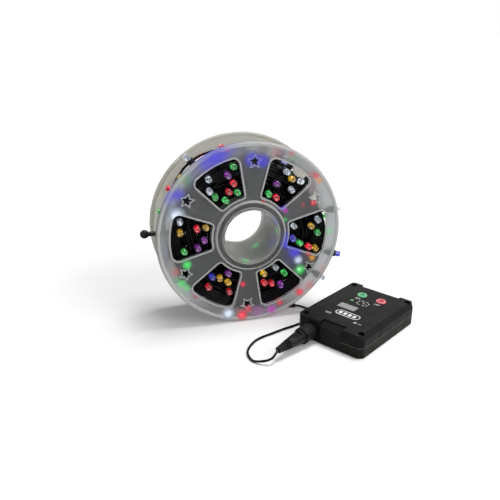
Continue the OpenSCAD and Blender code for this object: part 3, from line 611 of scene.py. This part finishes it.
FRONT_PAINTED_GLOWS = [spot(FRONT_DEPTH, *row) for row in [
    (75, 118, 14, BLUE, 0.35), (75, 110, 13, BLUE, 0.40), (76, 102, 10, BLUE, 0.12),
    (72, 146, 8, BLUE, 0.30), (78, 150, 9, BLUE, 0.20), (65, 89, 10, BLUE, 0.40),
    (64, 81, 9, BLUE, 0.40), (77, 105, 4, RED, 0.25), (74.5, 40, 4.5, RED, 0.5),
    (74, 36, 4.5, ORANGE, 0.5), (60.5, 24, 4.5, RED, 0.8), (51.5, 27, 4, RED, 0.2),
    (77, 63, 5, RED, 0.22), (73, 73, 8, RED, 0.10), (30, 69, 4, RED, 0.4),
    (36, 41, 6, BLUE, 0.35), (36, 33, 4, MAGENTA, 0.5), (32.5, 21, 3.5, GREEN, 0.4),
    (31, -6, 7, BLUE, 0.22), (32, -18, 8, BLUE, 0.35), (44, -25, 9, BLUE, 0.40),
    (36, -20, 6, BLUE, 0.3), (51, -32, 6, WHITE, 0.7), (58, -39, 7, GREEN, 0.65),
    (57, -39, 3, WHITE, 0.6), (62, -25, 4.5, ORANGE, 0.6), (57, -23, 4, RED, 0.4),
    (71, -2, 5, GREEN, 0.4), (75, -96, 7, RED, 0.85), (75, -97, 2, ORANGE, 0.8),
    (69, -92, 5, RED, 0.6), (75, -75, 7, MAGENTA, 0.4), (74, -106, 8, WHITE, 0.8),
    (72, -68, 4.5, RED, 0.6), (74, -52, 6, RED, 0.7), (76, -44, 8, RED, 0.18),
    (45, -99, 4, RED, 0.8), (73, -85, 9, MAGENTA, 0.14), (59, -159, 6, GREEN, 0.75),
    (71, -148, 6, GREEN, 0.50), (70, -143, 5, GREEN, 0.4), (77, -142, 9, GREEN, 0.05),
    (70, -158, 6, RED, 0.20), (66, 160, 10, WHITE, 0.75), (67, 161, 4, WHITE, 0.4),
    (75, 136, 9, GREEN, 0.10), (77, -30, 10, RED, 0.05), (76, 128, 24, BLUE, 0.04),
    (76, 150, 20, BLUE, 0.06), (45, -30, 16, BLUE, 0.06),
]]
REAR_PAINTED_GLOWS = [spot(REAR_DEPTH, *row) for row in [
    (63, 50, 9, BLUE, 0.35), (66, 118, 8, RED, 0.4), (60, -30, 8, GREEN, 0.4),
    (70, -80, 9, RED, 0.4), (64, 170, 8, GREEN, 0.4), (70, 200, 9, BLUE, 0.3),
    (66, -125, 8, MAGENTA, 0.3), (72, 20, 8, RED, 0.3),
]]
HUB_PAINTED_GLOWS = [
    spot(-21.0, 23, -100, 6, GREEN, 0.35),
    spot(4.0, 23, -60, 6, GREEN, 0.30),
    spot(-22.0, 23, 5, 5, GREEN, 0.35),
    spot(-16.0, 23, -25, 9, BLUE, 0.08),
    spot(-25.0, 25, 30, 9, BLUE, 0.15),
]

# opaque pieces: node, material, colour, roughness, grain and its size in mm,
# how far the colour varies, sockets
BLACK = (0.009, 0.009, 0.009)
BULB_BLACK = (0.008, 0.008, 0.009)
LED_GREY = (0.75, 0.75, 0.74)
BRASS = (0.80, 0.58, 0.25)
STEEL = (0.62, 0.62, 0.60)
SATIN = {"Specular IOR Level": 0.18}
MATT = {"Specular IOR Level": 0.10}
TOP_MATT = {"Specular IOR Level": 0.08}
SHEATH_GLOSS = {"Specular IOR Level": 0.11}
METAL = {"Metallic": 1.0}
LED_METAL = {"Metallic": 0.9}
PLAIN = {}
OPAQUE = [
    ("string_end_cap", "end_cap_plastic", BLACK, 0.28, 0.10, 0.5, 0.15, SATIN),
    ("lead_sleeve", "sleeve_rubber", BLACK, 0.40, 0.20, 0.5, 0.15, SATIN),
    ("strain_relief", "strain_relief_rubber", BLACK, 0.45, 0.25, 0.5, 0.15, SATIN),
    ("plug_body", "plug_plastic", BLACK, 0.42, 0.30, 0.45, 0.15, SATIN),
    ("plug_contacts", "contact_brass", BRASS, 0.3, 0.1, 0.4, 0.1, METAL),
    ("sealing_ring", "seal_rubber", (0.20, 0.05, 0.03), 0.6, 0.2, 0.5, 0.15, PLAIN),
    ("coupling_nut", "nut_plastic", BLACK, 0.40, 0.30, 0.45, 0.15, SATIN),
    ("socket_barrel", "socket_plastic", BLACK, 0.45, 0.25, 0.5, 0.15, SATIN),
    ("socket_pins", "pin_brass", BRASS, 0.3, 0.1, 0.4, 0.1, METAL),
    ("case_top", "case_plastic", (0.007, 0.007, 0.0068), 0.48, 0.55, 0.55, 0.18, TOP_MATT),
    ("case_base", "base_plastic", (0.011, 0.010, 0.007), 0.50, 0.55, 0.55, 0.18, MATT),
    ("case_gasket", "gasket_rubber", (0.03, 0.03, 0.03), 0.7, 0.2, 0.5, 0.15, PLAIN),
    ("case_screws", "screw_steel", (0.25, 0.25, 0.25), 0.35, 0.15, 0.4, 0.15, METAL),
    ("battery_door", "door_plastic", (0.010, 0.010, 0.009), 0.50, 0.55, 0.55, 0.18, MATT),
    ("door_hinge_pin", "pin_steel", (0.55, 0.55, 0.55), 0.3, 0.1, 0.4, 0.1, METAL),
    ("battery_cells", "cell_wrap", (0.03, 0.16, 0.07), 0.35, 0.10, 0.6, 0.2, PLAIN),
    ("battery_springs", "spring_steel", STEEL, 0.28, 0.1, 0.4, 0.1, METAL),
    ("battery_plates", "plate_steel", STEEL, 0.32, 0.1, 0.4, 0.1, METAL),
    ("control_board", "board_green", (0.02, 0.16, 0.06), 0.45, 0.2, 0.7, 0.25, PLAIN),
    ("controller_chip", "chip_black", (0.02, 0.02, 0.02), 0.5, 0.2, 0.4, 0.15, PLAIN),
    ("switch_domes", "dome_steel", STEEL, 0.28, 0.1, 0.4, 0.1, METAL),
    ("receiver_window", "smoked_window", (0.245, 0.255, 0.25), 0.18, 0.05, 0.8, 0.12, PLAIN),
]
for group in ("front", "rim", "rear"):
    OPAQUE += [
        (group + "_bulb_holders", group + "_socket_plastic", BULB_BLACK, 0.38, 0.25, 0.5, 0.15, SATIN),
        (group + "_led_frames", group + "_led_metal", LED_GREY, 0.3, 0.1, 0.4, 0.08, LED_METAL),
    ]

# lenses: node, material, colour, least and most light
LENSES = [
    ("red_lenses", "red_lens", (0.90, 0.02, 0.05), 0.04, 1.0),
    ("green_lenses", "green_lens", (0.06, 0.68, 0.14), 0.04, 1.0),
    ("blue_lenses", "blue_lens", (0.06, 0.06, 0.75), 0.1, 0.9),
    ("yellow_lenses", "yellow_lens", (0.95, 0.60, 0.03), 0.05, 0.85),
    ("white_lenses", "white_lens", (0.53, 0.58, 0.65), 0.05, 1.3),
    ("purple_lenses", "purple_lens", (0.34, 0.03, 0.46), 0.0, 0.8),
    ("indicator_lens", "indicator_lens_green", (0.08, 0.60, 0.12), 0.35, 0.45),
]

# frosted pieces: node, material, colour, roughness, transmission, painted glows, colour of the raised edges
# (partly their own frosted colour, partly a painted highlight)
FROSTED = [
    ("front_flange", "reel_front", (0.45, 0.465, 0.475), 0.34, 0.85, FRONT_PAINTED_GLOWS, (0.54, 0.55, 0.54)),
    ("rear_flange", "reel_rear", (0.65, 0.645, 0.585), 0.36, 0.70, REAR_PAINTED_GLOWS, (0.70, 0.69, 0.64)),
    ("hub_tube", "hub_plastic", (0.61, 0.62, 0.59), 0.38, 0.75, HUB_PAINTED_GLOWS, None),
]

# buttons: node, material, colour of the middle and of the ring
BUTTONS = [
    ("green_button", "green_cap", (0.02, 0.22, 0.07), (0.13, 0.43, 0.22)),
    ("red_button", "red_cap", (0.34, 0.005, 0.015), (0.64, 0.16, 0.18)),
]


def dress(node, material):
    for slot in nodes[node].material_slots:
        slot.material = material


for node, *look in OPAQUE:
    dress(node, plastic(*look))
for node, *look in LENSES:
    dress(node, lens(*look))
for node, *look in FROSTED:
    dress(node, frosted(*look))
for node, name, middle, ring in BUTTONS:
    dress(node, button_cap(name, node, middle, ring))

sheath = plastic("cable_sheath", (0.003, 0.003, 0.0035), 0.19, 0.20, 0.7, 0.25, SHEATH_GLOSS)
for cable in (wound_string, lead):
    cable.data.materials.append(sheath)


# print on the box: generic signs only, thin plates on the upper face;
# places in millimetres along the box from the plug's end, and across it

PRINT_Z = 20.0
PRINT_GAP = 0.005
PRINT_T = 0.03
WORD_SIZE = 3.2
WORDS = [("ON", 58.0, 23.0), ("OFF", 58.0, 42.0)]

# battery sign: an oval frame with four bars; half length, half width and corner radius of each outline
BATTERY = (26.0, 33.5)
BATTERY_OUTER = (4.2, 11.5, 4.1)
BATTERY_INNER = (3.4, 10.7, 3.3)
BAR = (2.0, 1.5, 0.5)
BAR_STEPS = 3
BAR_PLACES = (26.5, 31.0, 35.5, 40.0)

# strokes of the other signs: place along and across, half length, half width
STROKE_R = 0.2
STROKE_STEPS = 2
TIMER_FRAME = [
    (56.0, 29.5, 0.3, 1.3), (56.0, 34.0, 0.3, 1.3), (48.5, 29.5, 0.3, 1.3), (48.5, 34.0, 0.3, 1.3),
    (54.0, 27.0, 1.1, 0.3), (50.4, 27.0, 1.1, 0.3), (54.0, 36.6, 1.1, 0.3), (50.4, 36.6, 1.1, 0.3),
]
TIMER_HANDS = [(53.2, 31.8, 1.3, 0.25), (52.0, 33.0, 0.25, 1.3)]
DIRECT_CURRENT = [
    (19.4, 18.8, 0.3, 2.8), (17.8, 16.8, 0.3, 0.7), (17.8, 18.8, 0.3, 0.7), (17.8, 20.8, 0.3, 0.7),
]
PLUS_MINUS = [
    (17.6, 46.0, 0.35, 1.6), (17.6, 50.5, 0.35, 1.6), (18.6, 46.0, 0.65, 0.35), (16.6, 46.0, 0.65, 0.35),
]
STROKES = TIMER_FRAME + TIMER_HANDS + DIRECT_CURRENT + PLUS_MINUS


def box_point(x, y, z):
    return (BOX_CORNER + x * BOX_WAY + y * SIDE_WAY + Vector((0, 0, z))) * MM


def print_loops(bm, loop):
    heights = (PRINT_Z + PRINT_GAP, PRINT_Z + PRINT_T)
    return [[bm.verts.new(box_point(x, y, z)) for x, y in loop] for z in heights]


def add_ring(bm, outer, inner):
    outer_low, outer_high = print_loops(bm, outer)
    inner_low, inner_high = print_loops(bm, inner)
    for i in range(len(outer)):
        j = (i + 1) % len(outer)
        bm.faces.new((outer_high[i], outer_high[j], inner_high[j], inner_high[i]))
        bm.faces.new((outer_low[j], outer_low[i], inner_low[i], inner_low[j]))
        bm.faces.new((outer_low[i], outer_low[j], outer_high[j], outer_high[i]))
        bm.faces.new((inner_low[j], inner_low[i], inner_high[i], inner_high[j]))


def add_plate(bm, loop):
    low, high = print_loops(bm, loop)
    bm.faces.new(high)
    bm.faces.new(low[::-1])
    for i in range(len(loop)):
        j = (i + 1) % len(loop)
        bm.faces.new((low[i], low[j], high[j], high[i]))


def rounded(x, y, half_x, half_y, radius, steps=6):
    loop = []
    for k, (sx, sy) in enumerate(((1, 1), (-1, 1), (-1, -1), (1, -1))):
        corner_x = x + sx * (half_x - radius)
        corner_y = y + sy * (half_y - radius)
        for i in range(steps + 1):
            a = math.radians(90 * k + 90 * i / steps)
            loop.append((corner_x + radius * math.cos(a), corner_y + radius * math.sin(a)))
    return loop


def add_text(bm, words, x, y):
    data = bpy.data.curves.new("words", "FONT")
    data.body = words
    data.size = WORD_SIZE
    data.align_x = "CENTER"
    data.align_y = "CENTER"
    data.extrude = PRINT_T / 2
    obj = bpy.data.objects.new("words", data)
    scene.collection.objects.link(obj)
    bpy.context.view_layer.update()
    mesh = bpy.data.meshes.new_from_object(obj.evaluated_get(bpy.context.evaluated_depsgraph_get()))
    for v in mesh.vertices:
        across, up, height = v.co
        v.co = box_point(x + up, y + across, PRINT_Z + PRINT_T / 2 + height)
    bm.from_mesh(mesh)
    bpy.data.objects.remove(obj)
    bpy.data.meshes.remove(mesh)


def make_print():
    bm = bmesh.new()
    for words, x, y in WORDS:
        add_text(bm, words, x, y)
    add_ring(bm, rounded(*BATTERY, *BATTERY_OUTER), rounded(*BATTERY, *BATTERY_INNER))
    for y in BAR_PLACES:
        add_plate(bm, rounded(BATTERY[0], y, *BAR, BAR_STEPS))
    for stroke in STROKES:
        add_plate(bm, rounded(*stroke, STROKE_R, STROKE_STEPS))
    bmesh.ops.recalc_face_normals(bm, faces=bm.faces)
    mesh = bpy.data.meshes.new("case_print")
    bm.to_mesh(mesh)
    bm.free()
    obj = bpy.data.objects.new("case_print", mesh)
    scene.collection.objects.link(obj)
    mesh.materials.append(plastic("print_ink", (0.62, 0.63, 0.62), 0.55, 0.3, 0.4, 0.25, PLAIN))
    return obj


case_print = make_print()
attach(case_print, ROOT)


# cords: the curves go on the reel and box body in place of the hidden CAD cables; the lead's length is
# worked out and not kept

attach(wound_string, ROOT)
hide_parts("cable_core", "cable_winding")
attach(lead, ROOT)
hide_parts("lead_cable")
length_of(lead_points())


# floor, world and lamps, in metres

FLOOR_HALF = 6.0
FLOOR_GAP = 0.0001
FLOOR_GREY = (0.82, 0.82, 0.82, 1.0)
PURE_WHITE = (1.0, 1.0, 1.0, 1.0)
FLOOR_SHINE = (0.08, 1.0)
FLOOR_SHINE_REACH = (0.15, 0.75)
WORLD_LEVEL = (0.25, 1.0)
WHITE_RAYS = ("Is Glossy Ray", "Is Transmission Ray")

# lamps: name, place, aim, size, watts
LAMPS = [
    ("key_lamp", (0.24, 0.0, 1.1), (0.0, -0.02, -0.05), 0.55, 11.5),
    ("front_lamp", (0.75, -0.85, 0.75), (0.0, 0.0, 0.0), 0.9, 8.5),
]


def make_floor():
    mesh = bpy.data.meshes.new("floor")
    half = FLOOR_HALF
    z = FLOOR_Z * MM - FLOOR_GAP
    corners = [(-half, -half, z), (half, -half, z), (half, half, z), (-half, half, z)]
    mesh.from_pydata(corners, [], [(0, 1, 2, 3)])
    obj = bpy.data.objects.new("floor", mesh)
    scene.collection.objects.link(obj)
    mat = bpy.data.materials.new("floor_white")
    mat.use_nodes = True
    tree = mat.node_tree
    tree.nodes.clear()
    out = tree.nodes.new("ShaderNodeOutputMaterial")
    paint = tree.nodes.new("ShaderNodeBsdfDiffuse")
    paint.inputs["Color"].default_value = FLOOR_GREY
    # seen by the camera, the floor fades to white away from the object and keeps its shadow near it
    shine = tree.nodes.new("ShaderNodeEmission")
    shine.inputs["Color"].default_value = PURE_WHITE
    camera_ray = tree.nodes.new("ShaderNodeLightPath").outputs["Is Camera Ray"]
    away = vector_math(tree, "LENGTH", tree.nodes.new("ShaderNodeTexCoord").outputs["Object"])
    level = ranged(tree, away, *FLOOR_SHINE, *FLOOR_SHINE_REACH)
    tree.links.new(scalar_math(tree, "MULTIPLY", camera_ray, level), shine.inputs["Strength"])
    both = tree.nodes.new("ShaderNodeAddShader")
    tree.links.new(paint.outputs["BSDF"], both.inputs[0])
    tree.links.new(shine.outputs["Emission"], both.inputs[1])
    tree.links.new(both.outputs["Shader"], out.inputs["Surface"])
    mesh.materials.append(mat)


def make_world():
    world = bpy.data.worlds.new("studio")
    scene.world = world
    world.use_nodes = True
    tree = world.node_tree
    back = tree.nodes["Background"]
    back.inputs["Color"].default_value = PURE_WHITE
    path = tree.nodes.new("ShaderNodeLightPath")
    most = path.outputs["Is Camera Ray"]
    for name in WHITE_RAYS:
        most = scalar_math(tree, "MAXIMUM", most, path.outputs[name])
    tree.links.new(ranged(tree, most, *WORLD_LEVEL, 0.0, 1.0), back.inputs["Strength"])


def area_lamp(name, place, aim, size, watts):
    data = bpy.data.lights.new(name, "AREA")
    data.shape = "DISK"
    data.size = size
    data.energy = watts
    obj = bpy.data.objects.new(name, data)
    obj.location = place
    obj.rotation_euler = (Vector(aim) - Vector(place)).to_track_quat("-Z", "Y").to_euler()
    scene.collection.objects.link(obj)


make_floor()
make_world()
for lamp in LAMPS:
    area_lamp(*lamp)
